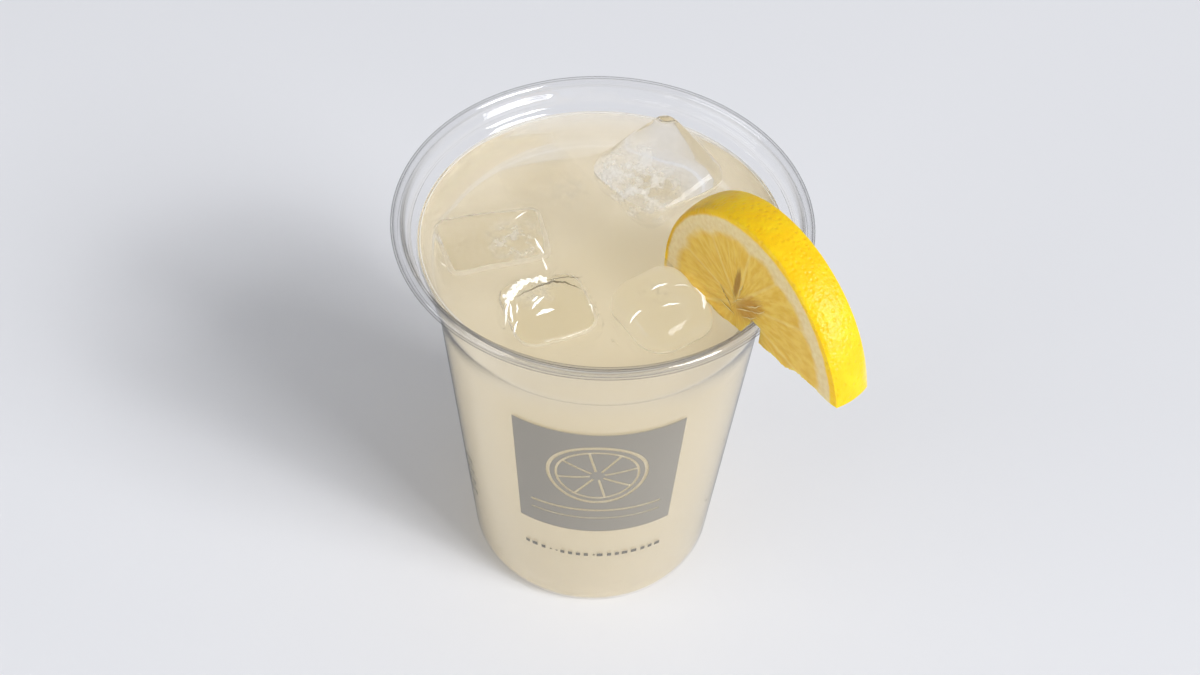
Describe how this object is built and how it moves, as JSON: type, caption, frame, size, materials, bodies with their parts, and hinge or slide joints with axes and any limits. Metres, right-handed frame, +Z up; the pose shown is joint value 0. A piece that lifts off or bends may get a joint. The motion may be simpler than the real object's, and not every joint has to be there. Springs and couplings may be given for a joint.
{
  "type": "plastic cup of lemonade",
  "caption": "Clear takeaway cup filled to the shoulder with cloudy lemonade, ice cubes breaking the surface and half a lemon slice slit onto the rim.",
  "frame": {"origin": "centre of the flat underside of the cup", "axes": "+Z up the cup's axis, -Y towards the printed front, +X to the right of the front, where the lemon slice sits at front right"},
  "size_m": [0.106, 0.1052, 0.1428],
  "materials": {
    "clear_cup": "clear thin plastic with a grey print",
    "lemonade": "cloudy pale liquid, glossy surface",
    "ice": "wet clear ice with a frosted middle",
    "lemon": "waxy dimpled rind, moist pulp",
    "print_ink": "flat grey ink"
  },
  "bodies": {
    "root": {"cup": "clear_cup", "drink": "lemonade", "ice_back": "ice", "ice_left": "ice", "ice_front": "ice", "ice_dome": "ice", "lemon_slice": "lemon"}
  },
  "joints": []
}
